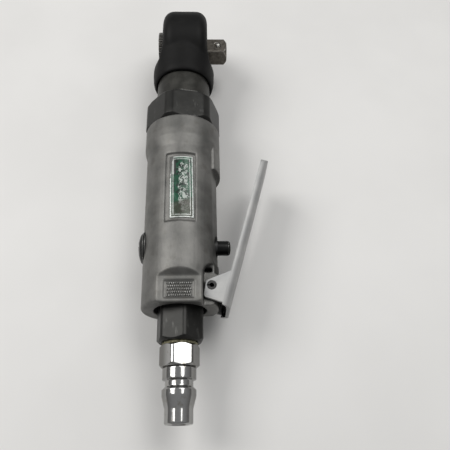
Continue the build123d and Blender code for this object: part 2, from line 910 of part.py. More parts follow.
# ---------------------------------------------------------------- clamp nut
def clamp_nut():
    shape = turned_hex_y(nut_flats, nut_corner_radius, nut_start, nut_end, nut_turn, 1.5, 1.0)
    shape -= rod_y(nose_radius, nut_start, nut_lip_start)
    return shape - rod_y(neck_radius + slide_gap, nut_start, nut_end)


parts["clamp_nut"] = clamp_nut()


# ---------------------------------------------------------------- ratchet head
def head_blank(neck, left, right, radius, edge, start, rounded=False):
    """Solid outline of a head: round neck, flare, and a disc about the drive axis."""
    flare_start = neck_end + 1
    flat_start = drive_y - 0.45 * radius
    flank = radius - 1.0
    plan = Polyline(
        (-neck, flare_start),
        (neck, flare_start),
        (right, flat_start),
        (right, drive_y),
        (-left, drive_y),
        (-left, flat_start),
        close=True,
    )
    profile = Polyline(
        (flare_start, neck), (drive_y, flank), (drive_y, -flank), (flare_start, -neck), close=True
    )
    flare = extrude(Plane.XY.offset(-radius) * make_face(plan), amount=2 * radius)
    flare &= extrude(about_x(-neck) * make_face(profile), amount=2 * neck)
    flare &= turned_y(
        (0, flare_start - 0.5),
        (neck - 0.2, flare_start - 0.5),
        (hypot(right, radius - edge), drive_y),
        (0, drive_y),
    )
    disc = rod_x(radius, -left, right, drive_y)
    rims = disc.edges().filter_by(GeomType.CIRCLE)
    disc = fillet(rims, edge) if rounded else chamfer(rims, edge)
    return rod_y(neck, start, flare_start + 0.8) + flare + disc


def ratchet_head():
    shape = head_blank(neck_radius, head_left, head_right, head_radius, head_edge, flange_end)
    shape += rod_y(nose_radius - 0.1, head_rear, flange_end)
    shape -= rod_y(crank_bearing_radius, head_rear, head_rear + 2.0 + crank_bearing_length)
    shape -= rod_y(crank_shaft_radius + 0.7, head_rear, cavity_start)
    shape -= rod_y(drive_ball_radius + crank_throw + 0.6, cavity_start, drive_back + 2)
    swing = 1.9 + slide_gap
    shape -= block(
        (-slot_half, cavity_start, -yoke_prong_half - swing),
        (slot_half, drive_y, yoke_prong_half + swing),
    )
    shape -= rod_x(yoke_radius + side_gap, -slot_half, slot_half, drive_y)
    shape -= block(
        (-slot_half, drive_y, -yoke_radius - side_gap),
        (slot_half, drive_y + head_radius + 1, yoke_radius + side_gap),
    )
    shape -= rod_x(anvil_radius + running_gap, -head_left - 1, head_right, drive_y)
    shape -= rod_x(washer_radius + 0.1, washer_x, head_right, drive_y)
    return shape - rod_x(ring_radius + 0.05, ring_x, ring_x + ring_thickness + 0.1, drive_y)


def head_cover():
    """Moulded rubber boot over the head, open at the drive and recessed for the knob."""
    left = head_left + cover_thickness_side
    right = head_right + cover_thickness_side
    radius = head_radius + cover_thickness_rim
    shape = head_blank(cover_bulb_radius - 0.6, left, right, radius, cover_edge, neck_end, True)
    bulb_end = neck_end + 17
    shape += turned_y(
        (0, cover_start),
        (cover_lip_radius, cover_start),
        (cover_bulb_radius - 0.3, neck_end + 1.5),
        (cover_bulb_radius, neck_end + 5),
        (cover_bulb_radius, neck_end + 9),
        (cover_bulb_radius - 1.2, neck_end + 13),
        (cover_bulb_radius - 3.6, bulb_end),
        (0, bulb_end),
    )
    shape -= head_blank(
        neck_radius + 0.02, head_left, head_right, head_radius, head_edge, cover_start
    )
    shape -= rod_x(anvil_shoulder_radius + 0.4, 0, right + 1, drive_y)
    shape -= rod_x(knob_radius + side_gap, -cover_bulb_radius - 1, -left, drive_y)
    return shape - rod_x(knob_hub_radius + side_gap, -left - 1, 0, drive_y)


def ratchet_yoke():
    half = yoke_thickness / 2
    ring = Circle(yoke_radius)
    arm = Pos(ball_y - 5.7 - drive_y, 0) * Rectangle(
        drive_y - ball_y, 2 * yoke_prong_half, align=(Align.MIN, Align.CENTER)
    )
    socket = Pos(ball_y - 6 - drive_y, 0) * Rectangle(
        6 + drive_ball_radius + 0.8, 2 * prong_gap, align=(Align.MIN, Align.CENTER)
    )
    points = []
    for i in range(2 * yoke_tooth_count):
        angle = pi * i / yoke_tooth_count
        radius = yoke_root_radius if i % 2 else yoke_tip_radius
        points.append((radius * cos(angle), radius * sin(angle)))
    teeth = make_face(Polyline(*points, close=True))
    return extrude(about_x(-half, drive_y) * (ring + arm - socket - teeth), amount=2 * half)


parts["ratchet_head"] = ratchet_head()
parts["head_cover"] = head_cover()
parts["ratchet_yoke"] = ratchet_yoke()
parts["anvil_washer"] = tube_x(
    washer_radius,
    anvil_shoulder_radius + 0.1,
    washer_x,
    washer_x + washer_thickness,
    drive_y,
)
parts["retaining_ring"] = tube_x(
    ring_radius, anvil_shoulder_radius + 0.5, ring_x, ring_x + ring_thickness, drive_y
) - block((ring_x - 1, drive_y - 1.5, -ring_radius - 1), (ring_x + 2, drive_y + 1.5, 0))


# ---------------------------------------------------------------- anvil and reverser

def square_drive():
    side = RectangleRounded(drive_square, drive_square, drive_square_corner)
    length = drive_square_end - anvil_shoulder_x
    bar = extrude(about_x(anvil_shoulder_x, drive_y) * side, amount=length)
    reach = drive_square * 0.66
    envelope = turned_x(
        (anvil_shoulder_x, 0),
        (anvil_shoulder_x, reach),
        (drive_square_end - 1.4, reach),
        (drive_square_end, reach - 1.6),
        (drive_square_end, 0),
        y=drive_y,
    )
    return bar & envelope


def pawl_pin():
    start = anvil_back_x + 2.5
    end = anvil_shoulder_x - 0.05
    return rod_x(pawl_pin_radius, start, end, drive_y, pawl_pivot_radius)


def anvil():
    shape = rod_x(anvil_radius, anvil_back_x, anvil_shoulder_x, drive_y)
    shape += rod_x(anvil_shoulder_radius, anvil_shoulder_x, drive_square_start - 1, drive_y)
    shape += square_drive()
    shape -= rod_x(anvil_bore_radius, anvil_back_x, knob_hub_end_x + 0.3, drive_y)
    pawl_room = pawl_half_width + 0.2
    reach = anvil_radius + 1
    shape -= block((-pawl_room, drive_y - reach, 1.5), (pawl_room, drive_y + reach, reach))
    shape -= pawl_pin()
    top = drive_square / 2 + 1
    bore = detent_ball_radius + running_gap
    shape -= rod_z(bore, ball_hole_floor, top, detent_ball_x, drive_y)
    mouth = Cone(bore - 0.2, bore + 0.45, 0.65, align=(Align.CENTER, Align.CENTER, Align.MAX))
    return shape - Pos(detent_ball_x, drive_y, drive_square / 2) * mouth


def pawl():
    """Double-ended pawl, rocked so that its leading end faces the yoke's teeth."""
    span = radians(pawl_half_span)
    reach = pawl_tip_radius + 4
    side = reach * sin(span)
    top = reach * cos(span)
    wedge = make_face(Polyline((0, 0), (side, top), (-side, top), close=True))
    outline = (Circle(pawl_tip_radius) - Circle(pawl_inner_radius)) & wedge
    notch = Pos(pawl_tip_radius + 0.1, 0) * Rot(0, 0, 45) * Rectangle(0.8, 0.8)
    for sign in (1, -1):
        for inset in pawl_notch_insets:
            outline -= Rot(0, 0, 90 - sign * (pawl_half_span - inset)) * notch
    outline -= Pos(0, pawl_pivot_radius) * Circle(pawl_pin_radius + running_gap)
    pivot = Pos(0, pawl_pivot_radius)
    outline = pivot * Rot(0, 0, pawl_tilt) * Pos(0, -pawl_pivot_radius) * outline
    return extrude(about_x(-pawl_half_width, drive_y) * outline, amount=2 * pawl_half_width)


def on_plunger_axis(shape):
    return Pos(0, drive_y, 0) * Rot(-knob_half_turn, 0, 0) * shape


def reverse_knob():
    """Knob on the back of the head; its hub carries the plunger inside the anvil."""
    inner_x = knob_outer_x + knob_thickness
    knob = rod_x(knob_radius, knob_outer_x, inner_x, drive_y)
    rim = knob.edges().filter_by(GeomType.CIRCLE)
    knob = fillet(rim, 0.5)
    flute_circle = knob_radius + 0.2
    for i in range(knob_flute_count):
        angle = 2 * pi * i / knob_flute_count
        y = drive_y + flute_circle * cos(angle)
        knob -= rod_x(knob_flute_radius, knob_outer_x - 1, inner_x + 1, y, flute_circle * sin(angle))
    bar = block(
        (knob_outer_x, drive_y - knob_bar_half, -knob_bar_reach),
        (knob_outer_x + knob_dish_depth + 0.3, drive_y + knob_bar_half, knob_bar_reach),
    )
    dish = rod_x(knob_dish_radius, knob_outer_x - 1, knob_outer_x + knob_dish_depth, drive_y)
    knob = knob - dish + bar
    knob += rod_x(knob_hub_radius, inner_x, anvil_back_x - knob_gap, drive_y)
    knob += rod_x(anvil_bore_radius - running_gap, anvil_back_x - knob_gap, knob_hub_end_x, drive_y)
    well = rod_z(plunger_radius + running_gap, plunger_well_floor, anvil_bore_radius + 1)
    return knob - on_plunger_axis(well)


parts["anvil"] = anvil()
parts["pawl"] = pawl()
parts["pawl_pin"] = pawl_pin()
parts["reverse_knob"] = reverse_knob()
parts["knob_plunger"] = on_plunger_axis(rod_z(plunger_radius, plunger_start, plunger_end))
parts["plunger_spring"] = on_plunger_axis(
    Pos(0, 0, plunger_well_floor) * coil(0.7, 0.3, plunger_start - plunger_well_floor, 4)
)
parts["detent_ball"] = Pos(detent_ball_x, drive_y, detent_ball_height) * Sphere(detent_ball_radius)
ball_spring_length = detent_ball_height - detent_ball_radius - ball_hole_floor
parts["ball_spring"] = Pos(detent_ball_x, drive_y, ball_hole_floor) * coil(
    1.1, 0.35, ball_spring_length, 5
)


# ---------------------------------------------------------------- write the pieces
for name, shape in parts.items():
    shape.label = name
    export_step(shape, f"parts/{name}.step")
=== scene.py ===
"""Looks for the air ratchet: finer pieces, materials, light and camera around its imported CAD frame.

Lengths named here are in millimetres and are turned into metres where a mesh is written.
The tool lies along +Y, its drive and lever on the +X side, its nameplate up.
"""
from math import ceil, cos, pi, radians, sin

import bmesh
import bpy
from mathutils import Matrix, Vector, noise


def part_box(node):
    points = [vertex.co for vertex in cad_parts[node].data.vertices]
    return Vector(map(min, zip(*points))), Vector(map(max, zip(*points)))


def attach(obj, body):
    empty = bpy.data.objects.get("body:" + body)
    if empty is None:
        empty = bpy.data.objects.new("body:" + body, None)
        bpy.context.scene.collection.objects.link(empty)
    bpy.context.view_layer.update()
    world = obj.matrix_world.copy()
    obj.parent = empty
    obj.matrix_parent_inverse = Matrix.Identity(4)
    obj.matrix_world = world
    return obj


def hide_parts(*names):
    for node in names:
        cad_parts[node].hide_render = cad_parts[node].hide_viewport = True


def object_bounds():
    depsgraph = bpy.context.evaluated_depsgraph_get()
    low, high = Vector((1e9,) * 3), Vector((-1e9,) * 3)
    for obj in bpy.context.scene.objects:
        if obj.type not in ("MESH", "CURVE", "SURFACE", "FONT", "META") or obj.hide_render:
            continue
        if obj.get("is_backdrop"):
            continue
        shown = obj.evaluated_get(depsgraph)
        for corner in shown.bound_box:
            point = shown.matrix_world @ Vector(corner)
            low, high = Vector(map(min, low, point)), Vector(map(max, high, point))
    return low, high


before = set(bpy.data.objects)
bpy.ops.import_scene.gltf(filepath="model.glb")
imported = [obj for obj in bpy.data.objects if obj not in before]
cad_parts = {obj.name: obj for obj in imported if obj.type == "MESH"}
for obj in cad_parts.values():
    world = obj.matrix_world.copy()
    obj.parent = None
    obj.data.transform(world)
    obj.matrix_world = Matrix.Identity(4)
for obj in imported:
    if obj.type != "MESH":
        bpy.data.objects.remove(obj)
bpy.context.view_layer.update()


MM = 0.001
SEGMENTS = 180            # around each turned piece
EDGE = 0.18               # rounding of machined edges

# hexagons: across flats, and the turn about the tool's axis in degrees
PLUG_HEX = (14.0, 12.0)
INLET_HEX = (17.0, -16.0)
NUT_HEX = (32.0, 11.0)

# plug section, radii and stations from its free end
PLUG_BORE = 3.75
PLUG_SECTION = [
    (PLUG_BORE, 0.7), (4.15, 0.0), (4.95, 0.0), (5.35, 0.5), (5.35, 5.4), (6.5, 9.9), (6.5, 12.0),
    (5.3, 13.2), (5.3, 15.2), (6.45, 15.7), (6.45, 19.7), (5.95, 20.2), (7.0, 20.2), (7.8, 21.0),
    (7.8, 27.6), (7.0, 28.4), (6.5, 28.4), (6.5, 30.0), (PLUG_BORE, 30.0),
]
PLUG_HEX_SPAN = (20.2, 28.4)

# other turned pieces
INLET_BORE = 6.6
INLET_FACE_RADIUS = 7.2
INLET_THREAD_RADIUS = 8.25
NUT_BORE = 13.0
NUT_SKIRT_RADIUS = 14.5
NUT_LIP_AHEAD = 2.8       # the lip's seat, from the head's rear face
TAPE_BORE = 6.55

# foil label, narrower than its pocket and stuck on a little askew
LABEL_SIDES = (-4.4, 5.4)
LABEL_REAR_GAP = 0.9
LABEL_TURN = 1.2

# rear recess of the nameplate pad, from the casting's rear face
RECESS_START = 1.5
RECESS_LENGTH = 7.3
RECESS_FLOOR = 12.7

# view of the tool, in millimetres and degrees, with the tool resting turned about its own axis
CAMERA_PLACE = (21.65, -13.69, 188.91)
CAMERA_DEPRESSION = 63.625
CAMERA_YAW = -1.718
CAMERA_ROLL = -3.548
TOOL_TURN = 3.5
LENS = 38.9


# ---------------------------------------------------------------- mesh helpers
def add_piece(name, mesh, material, body, replaces=None):
    piece = bpy.data.objects.new(name, mesh)
    bpy.context.scene.collection.objects.link(piece)
    mesh.materials.clear()
    mesh.materials.append(material)
    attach(piece, body)
    if replaces:
        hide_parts(replaces)
    return piece


def mesh_from(bm, name):
    bmesh.ops.recalc_face_normals(bm, faces=bm.faces)
    mesh = bpy.data.meshes.new(name)
    bm.to_mesh(mesh)
    bm.free()
    mesh.shade_smooth()
    return mesh


def apply_modifiers(piece):
    """Bakes a piece's modifiers into its mesh."""
    bpy.context.view_layer.update()
    graph = bpy.context.evaluated_depsgraph_get()
    mesh = bpy.data.meshes.new_from_object(piece.evaluated_get(graph))
    piece.modifiers.clear()
    piece.data = mesh
    return piece


def rounded(section, size, steps=4):
    """Closed section whose corners are replaced by small arcs."""
    points = []
    for i, corner in enumerate(section):
        corner = Vector(corner)
        back = Vector(section[i - 1]) - corner
        ahead = Vector(section[(i + 1) % len(section)]) - corner
        reach = min(size, 0.45 * back.length, 0.45 * ahead.length)
        start = corner + back.normalized() * reach
        end = corner + ahead.normalized() * reach
        for step in range(steps + 1):
            t = step / steps
            points.append((1 - t) ** 2 * start + 2 * t * (1 - t) * corner + t * t * end)
    return points


def divided(section, longest):
    """The same closed section with its long runs cut into short ones."""
    points = []
    for i, start in enumerate(section):
        end = section[(i + 1) % len(section)]
        count = max(1, ceil((end - start).length / longest))
        points += [start.lerp(end, step / count) for step in range(count)]
    return points


def soft_least(a, b, width):
    """The lesser of two lengths, eased together where they are nearly equal."""
    ease = max(width - abs(a - b), 0) / width
    return min(a, b) - ease * ease * width / 4


def hex_reach(angle, flats, turn):
    """Distance from the axis to a hexagon's side, at an angle from +X towards +Z."""
    offset = (-angle - radians(turn) - pi / 6) % (pi / 3)
    offset = min(offset, pi / 3 - offset)
    return flats / 2 / cos(offset)


def turned(name, section, hexagon=None, span=None, wobble=None):
    """Mesh turned about the tool's axis from a closed (radius, station) section.

    Where the station lies in span, the radius is also limited by the hexagon.
    """
    bm = bmesh.new()
    rings = []
    for radius, station in section:
        ring = []
        for i in range(SEGMENTS):
            angle = 2 * pi * i / SEGMENTS
            reach = radius
            if hexagon and span[0] - 0.01 <= station <= span[1] + 0.01:
                reach = soft_least(radius, hex_reach(angle, *hexagon), 0.12)
            if wobble:
                reach += wobble(angle, station)
            ring.append(bm.verts.new(
                (reach * cos(angle) * MM, station * MM, reach * sin(angle) * MM)
            ))
        rings.append(ring)
    for k, ring in enumerate(rings):
        following = rings[(k + 1) % len(rings)]
        for i in range(SEGMENTS):
            j = (i + 1) % SEGMENTS
            bm.faces.new((ring[i], ring[j], following[j], following[i]))
    bmesh.ops.remove_doubles(bm, verts=bm.verts, dist=1e-7)
    return mesh_from(bm, name)


def softened(name, node, voxel, passes, keep):
    """Copy of a CAD solid remeshed finely and smoothed, as cast or moulded edges are."""
    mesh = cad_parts[node].data.copy()
    mesh.name = name
    piece = bpy.data.objects.new(name, mesh)
    bpy.context.scene.collection.objects.link(piece)
    bm = bmesh.new()
    bm.from_mesh(mesh)
    bmesh.ops.remove_doubles(bm, verts=bm.verts, dist=1e-7)
    bm.to_mesh(mesh)
    bm.free()
    remesh = piece.modifiers.new("fine", "REMESH")
    remesh.mode = "VOXEL"
    remesh.voxel_size = voxel * MM
    smooth = piece.modifiers.new("soft", "SMOOTH")
    smooth.factor = 0.5
    smooth.iterations = passes
    decimate = piece.modifiers.new("fewer", "DECIMATE")
    decimate.ratio = keep
    apply_modifiers(piece)
    result = piece.data.copy()
    bpy.data.objects.remove(piece)
    result.shade_smooth()
    return result


def edged(name, node, width, sharpest=28):
    """Copy of a CAD solid with its flat faces joined up and its sharp edges rounded."""
    bm = bmesh.new()
    bm.from_mesh(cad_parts[node].data)
    bmesh.ops.remove_doubles(bm, verts=bm.verts, dist=1e-7)
    bmesh.ops.dissolve_limit(
        bm, angle_limit=radians(0.5), verts=bm.verts, edges=bm.edges, delimit={"SHARP"}
    )
    mesh = bpy.data.meshes.new(name)
    bm.to_mesh(mesh)
    bm.free()
    mesh.shade_smooth()
    piece = bpy.data.objects.new(name, mesh)
    bpy.context.scene.collection.objects.link(piece)
    bevel = piece.modifiers.new("edge", "BEVEL")
    bevel.width = width * MM
    bevel.segments = 3
    bevel.limit_method = "ANGLE"
    bevel.angle_limit = radians(sharpest)
    bevel.harden_normals = True
    bevel.use_clamp_overlap = True
    apply_modifiers(piece)
    result = piece.data.copy()
    bpy.data.objects.remove(piece)
    return result


# ---------------------------------------------------------------- material helpers
class Field:
    """A value that varies over a surface; arithmetic on it adds nodes to its material."""

    def __init__(self, tree, socket):
        self.tree = tree
        self.socket = socket

    def node(self, operation, *others, clamp=False):
        math = self.tree.nodes.new("ShaderNodeMath")
        math.operation = operation
        math.use_clamp = clamp
        for i, value in enumerate((self,) + others):
            connect(self.tree, value, math.inputs[i])
        return Field(self.tree, math.outputs[0])

    def __add__(self, other):
        return self.node("ADD", other)

    def __sub__(self, other):
        return self.node("SUBTRACT", other)

    def __mul__(self, other):
        return self.node("MULTIPLY", other)

    def least(self, other):
        return self.node("MINIMUM", other)

    def size(self):
        return self.node("ABSOLUTE")

    def inverse(self):
        return self.node("MULTIPLY_ADD", -1.0, 1.0)

    def ramp(self, low, high):
        """0 below low and 1 above high, with a smooth rise between."""
        ramp = self.tree.nodes.new("ShaderNodeMapRange")
        ramp.interpolation_type = "SMOOTHSTEP"
        connect(self.tree, self, ramp.inputs["Value"])
        ramp.inputs["From Min"].default_value = low
        ramp.inputs["From Max"].default_value = high
        return Field(self.tree, ramp.outputs["Result"])

    def between(self, low, high):
        """A value from low to high, as this goes from 0 to 1."""
        ramp = self.tree.nodes.new("ShaderNodeMapRange")
        connect(self.tree, self, ramp.inputs["Value"])
        ramp.inputs["To Min"].default_value = low
        ramp.inputs["To Max"].default_value = high
        return Field(self.tree, ramp.outputs["Result"])

    def mix(self, first, second):
        """A colour that goes from first to second, as this goes from 0 to 1."""
        mix = self.tree.nodes.new("ShaderNodeMix")
        mix.data_type = "RGBA"
        connect(self.tree, self, mix.inputs[0])
        connect(self.tree, first, mix.inputs[6])
        connect(self.tree, second, mix.inputs[7])
        return Field(self.tree, mix.outputs[2])


def connect(tree, value, socket):
    if isinstance(value, Field):
        tree.links.new(value.socket, socket)
    elif isinstance(value, tuple):
        socket.default_value = (*value, 1.0)
    else:
        socket.default_value = value


class Surface:
    """One material: a Principled shader and the patterns that feed it, in millimetres."""

    def __init__(self, name, metallic, **fixed):
        self.material = bpy.data.materials.new(name)
        self.material.use_nodes = True
        self.tree = self.material.node_tree
        self.shader = self.tree.nodes["Principled BSDF"]
        self.shader.inputs["Metallic"].default_value = metallic
        for key, value in fixed.items():
            self.shader.inputs[key.replace("_", " ")].default_value = value
        place = self.tree.nodes.new("ShaderNodeTexCoord")
        scale = self.tree.nodes.new("ShaderNodeVectorMath")
        scale.operation = "SCALE"
        scale.inputs["Scale"].default_value = 1 / MM
        self.tree.links.new(place.outputs["Object"], scale.inputs[0])
        self.place = scale.outputs[0]
        parts = self.tree.nodes.new("ShaderNodeSeparateXYZ")
        self.tree.links.new(self.place, parts.inputs[0])
        self.x, self.y, self.z = (Field(self.tree, output) for output in parts.outputs)

    def stretched(self, stretch):
        scale = self.tree.nodes.new("ShaderNodeVectorMath")
        scale.operation = "MULTIPLY"
        scale.inputs[1].default_value = stretch
        self.tree.links.new(self.place, scale.inputs[0])
        return scale.outputs[0]

    def noise(self, grain, detail=3.0, stretch=None, rough=0.55, turn=0.0):
        """Cloudy pattern from 0 to 1 whose patches are about grain millimetres across."""
        texture = self.tree.nodes.new("ShaderNodeTexNoise")
        texture.noise_dimensions = "4D"
        texture.inputs["W"].default_value = turn
        texture.inputs["Scale"].default_value = 1 / grain
        texture.inputs["Detail"].default_value = detail
        texture.inputs["Roughness"].default_value = rough
        place = self.stretched(stretch) if stretch else self.place
        self.tree.links.new(place, texture.inputs["Vector"])
        return Field(self.tree, texture.outputs[0])

    def cells(self, grain, stretch=None):
        """Distance from scattered points, about grain millimetres apart."""
        texture = self.tree.nodes.new("ShaderNodeTexVoronoi")
        texture.inputs["Scale"].default_value = 1 / grain
        place = self.stretched(stretch) if stretch else self.place
        self.tree.links.new(place, texture.inputs["Vector"])
        return Field(self.tree, texture.outputs["Distance"])

    def edges(self, radius):
        """1 on sharp edges and 0 on flat ground, from how far a rounded normal leans."""
        bevel = self.tree.nodes.new("ShaderNodeBevel")
        bevel.samples = 6
        bevel.inputs["Radius"].default_value = radius * MM
        ground = self.tree.nodes.new("ShaderNodeNewGeometry")
        dot = self.tree.nodes.new("ShaderNodeVectorMath")
        dot.operation = "DOT_PRODUCT"
        self.tree.links.new(bevel.outputs[0], dot.inputs[0])
        self.tree.links.new(ground.outputs["Normal"], dot.inputs[1])
        return Field(self.tree, dot.outputs["Value"]).ramp(0.995, 0.90)

    def hollows(self, distance):
        """1 deep in corners and 0 in the open."""
        near = self.tree.nodes.new("ShaderNodeAmbientOcclusion")
        near.samples = 6
        near.inputs["Distance"].default_value = distance * MM
        return Field(self.tree, near.outputs["AO"]).inverse()

    def finish(self, colour, roughness, height=None, depth=0.02, rounding=None):
        connect(self.tree, colour, self.shader.inputs["Base Color"])
        connect(self.tree, roughness, self.shader.inputs["Roughness"])
        normal = None
        if rounding:
            bevel = self.tree.nodes.new("ShaderNodeBevel")
            bevel.samples = 6
            bevel.inputs["Radius"].default_value = rounding * MM
            normal = bevel.outputs[0]
        if height:
            bump = self.tree.nodes.new("ShaderNodeBump")
            bump.inputs["Strength"].default_value = 1.0
            bump.inputs["Distance"].default_value = depth * MM
            connect(self.tree, height, bump.inputs["Height"])
            if normal:
                self.tree.links.new(normal, bump.inputs["Normal"])
            normal = bump.outputs[0]
        if normal:
            self.tree.links.new(normal, self.shader.inputs["Normal"])
        return self.material


# ---------------------------------------------------------------- materials
def cast_aluminium():
    """Tumbled casting: fine pits, cloudy stains, polish where hands and bench rub it, grime mixed
    with painted shade in its hollows and near-black painted shade in tight crevices.
    """
    s = Surface("cast_aluminium", 0.75)
    cloud = s.noise(9, 5)
    stain = s.noise(4, 6, turn=3.0).ramp(0.52, 0.72)
    streak = s.noise(3, 4, stretch=(1, 0.15, 1), turn=7.0)
    pits = s.cells(0.9).ramp(0.05, 0.32)
    grain = s.noise(0.35, 2, turn=2.0)
    # grime and painted shade: darker where nearby surfaces hem the casting in, broken up by noise
    grime_and_shade = (s.hollows(2.5) * s.noise(2, 4, turn=5.0).between(0.8, 1.6)).ramp(0.30, 0.95)
    wear = s.edges(0.5) * s.noise(1.2, 3, turn=9.0).ramp(0.35, 0.6)
    colour = cloud.ramp(0.3, 0.7).mix((0.125, 0.125, 0.119), (0.21, 0.207, 0.198))
    colour = (stain * 0.5).mix(colour, (0.11, 0.105, 0.092))
    colour = (streak.ramp(0.5, 0.75) * 0.35).mix(colour, (0.10, 0.10, 0.10))
    colour = (wear * 0.75).mix(colour, (0.50, 0.50, 0.49))
    colour = (grime_and_shade * 0.85).mix(colour, (0.030, 0.030, 0.027))
    # painted shade: near-black in tight crevices and deep corners
    colour = (s.hollows(0.9).ramp(0.10, 0.38) * 0.92).mix(colour, (0.010, 0.010, 0.009))
    rough = cloud.between(0.42, 0.60) + grime_and_shade * 0.2 - wear * 0.15
    height = pits * 0.5 + grain * 0.5 + cloud * 0.6
    return s.finish(colour, rough, height, 0.05)


def black_oxide(name, ground=(0.014, 0.014, 0.013), rounding=None):
    """Blackened machined steel, rubbed lighter on its edges, with faint turning marks."""
    s = Surface(name, 0.6)
    rings = s.noise(0.5, 2, stretch=(0.1, 3, 0.1))
    cloud = s.noise(5, 5, turn=4.0)
    scuff = s.noise(2.2, 6, stretch=(1, 0.35, 1), turn=6.0).ramp(0.60, 0.74)
    wear = s.edges(0.45) * s.noise(1.6, 4, turn=8.0).ramp(0.28, 0.55)
    colour = cloud.ramp(0.35, 0.7).mix(ground, tuple(1.8 * c for c in ground))
    colour = (scuff * 0.35).mix(colour, (0.15, 0.15, 0.145))
    colour = (wear * 0.9).mix(colour, (0.50, 0.50, 0.48))
    rough = cloud.between(0.32, 0.48) - wear * 0.08
    return s.finish(colour, rough, rings * 0.5 + scuff * 0.4, 0.012, rounding)


def phosphated_steel():
    """Dark grey neck of the head, slightly brown and oily."""
    s = Surface("phosphated_steel", 0.7)
    rings = s.noise(0.45, 2, stretch=(0.05, 2.5, 0.05))
    cloud = s.noise(4, 6, turn=1.0)
    wear = s.edges(0.4) * s.noise(1.0, 3, turn=2.0).ramp(0.35, 0.6)
    colour = cloud.ramp(0.3, 0.7).mix((0.024, 0.024, 0.021), (0.052, 0.051, 0.046))
    colour = (wear * 0.7).mix(colour, (0.34, 0.33, 0.31))
    return s.finish(colour, cloud.between(0.36, 0.55), rings, 0.015)


def moulded_rubber():
    """Black rubber boot: fine pebble, a little dust and oil sheen."""
    s = Surface("moulded_rubber", 0.0, Specular_IOR_Level=0.16)
    dust = s.noise(6, 6).ramp(0.50, 0.75)
    pebble = s.cells(0.5)
    sheen = s.noise(10, 3, turn=5.0)
    colour = (dust * 0.6).mix((0.0035, 0.0035, 0.0035), (0.010, 0.010, 0.009))
    height = pebble * 0.6 + s.noise(0.8, 3, turn=3.0) * 0.4
    return s.finish(colour, sheen.between(0.46, 0.66), height, 0.03)


def bright_chrome():
    """Plated plug: mirror bright, with brown patches that are partly residue and partly painted
    reflection of brown surroundings, fine scratches round it, painted dark reflection along its left
    and right sides and grime with painted shade in its hollows.
    """
    s = Surface("bright_chrome", 1.0)
    # brown patches: partly residue, partly painted reflection of brown surroundings
    residue_and_reflection = s.noise(2.4, 5).ramp(0.54, 0.74)
    scratch = s.noise(0.6, 4, stretch=(1, 5, 1), turn=4.0)
    # grime and painted shade: darker and rougher in hollows
    grime_and_shade = s.hollows(1.2).ramp(0.35, 0.9)
    colour = (residue_and_reflection * 0.6).mix((0.40, 0.40, 0.395), (0.20, 0.17, 0.12))
    # painted dark reflection: darker towards the plug's left and right sides, by distance from its
    # axis in x
    painted_dark_sides = s.x.size().ramp(3.6, 6.4)
    colour = (painted_dark_sides * 0.65).mix(colour, (0.10, 0.095, 0.085))
    colour = (grime_and_shade * 0.8).mix(colour, (0.10, 0.09, 0.07))
    rough = residue_and_reflection.between(0.13, 0.26) + scratch.ramp(0.5, 0.8) * 0.06 + grime_and_shade * 0.25
    return s.finish(colour, rough, scratch, 0.004)


def dull_nickel():
    """Pressed lever: satin plating with long rub marks, a few dark scuffs, and grime with painted
    shade in its hollows.
    """
    s = Surface("dull_nickel", 0.55)
    brush = s.noise(0.5, 3, stretch=(1.0, 0.06, 1.0))
    cloud = s.noise(7, 5, turn=2.0)
    scuff = s.noise(1.6, 6, stretch=(1, 0.3, 1), turn=6.0).ramp(0.63, 0.76)
    # grime and painted shade: darker in hollows and where nearby parts crowd the lever
    grime_and_shade = s.hollows(2.0).ramp(0.35, 0.95)
    colour = cloud.ramp(0.3, 0.7).mix((0.36, 0.365, 0.365), (0.44, 0.44, 0.435))
    colour = (scuff * 0.5).mix(colour, (0.28, 0.27, 0.25))
    colour = (grime_and_shade * 0.6).mix(colour, (0.12, 0.12, 0.11))
    rough = cloud.between(0.46, 0.58) + brush.between(-0.04, 0.06)
    return s.finish(colour, rough, brush, 0.010)


def drive_steel(name, ground=(0.075, 0.068, 0.058)):
    """Hardened drive: brown-black flats and bright rubbed corners."""
    s = Surface(name, 0.85)
    cloud = s.noise(1.8, 6)
    scuff = s.noise(0.9, 5, stretch=(3, 1, 1), turn=4.0).ramp(0.55, 0.72)
    wear = s.edges(0.5) * s.noise(1.0, 4, turn=7.0).ramp(0.25, 0.5)
    colour = cloud.ramp(0.3, 0.7).mix(ground, tuple(2.2 * c for c in ground))
    colour = (scuff * 0.5).mix(colour, (0.26, 0.25, 0.23))
    colour = (wear * 0.8).mix(colour, (0.52, 0.51, 0.49))
    return s.finish(colour, cloud.between(0.26, 0.46), scuff * 0.5 + cloud * 0.5, 0.015, 0.2)


def plain_metal(name, dark, light, low=0.25, high=0.4, metallic=1.0, grain=2.0):
    """Machined inner or small pieces, with faint cloud, marks and rounded edges."""
    s = Surface(name, metallic)
    cloud = s.noise(grain, 5)
    marks = s.noise(0.4, 3, stretch=(0.3, 3, 0.3), turn=3.0)
    colour = cloud.ramp(0.3, 0.7).mix(dark, light)
    return s.finish(colour, cloud.between(low, high), marks, 0.008, 0.15)


def soft_matter(name, dark, light, grain=1.5):
    """Seals, tape and vane board: matt, mottled and slightly rough."""
    s = Surface(name, 0.0)
    cloud = s.noise(grain, 6)
    fibre = s.noise(0.3, 3, stretch=(1, 0.2, 1), turn=3.0)
    colour = cloud.ramp(0.3, 0.7).mix(dark, light)
    return s.finish(colour, cloud.between(0.55, 0.8), fibre + cloud, 0.03)


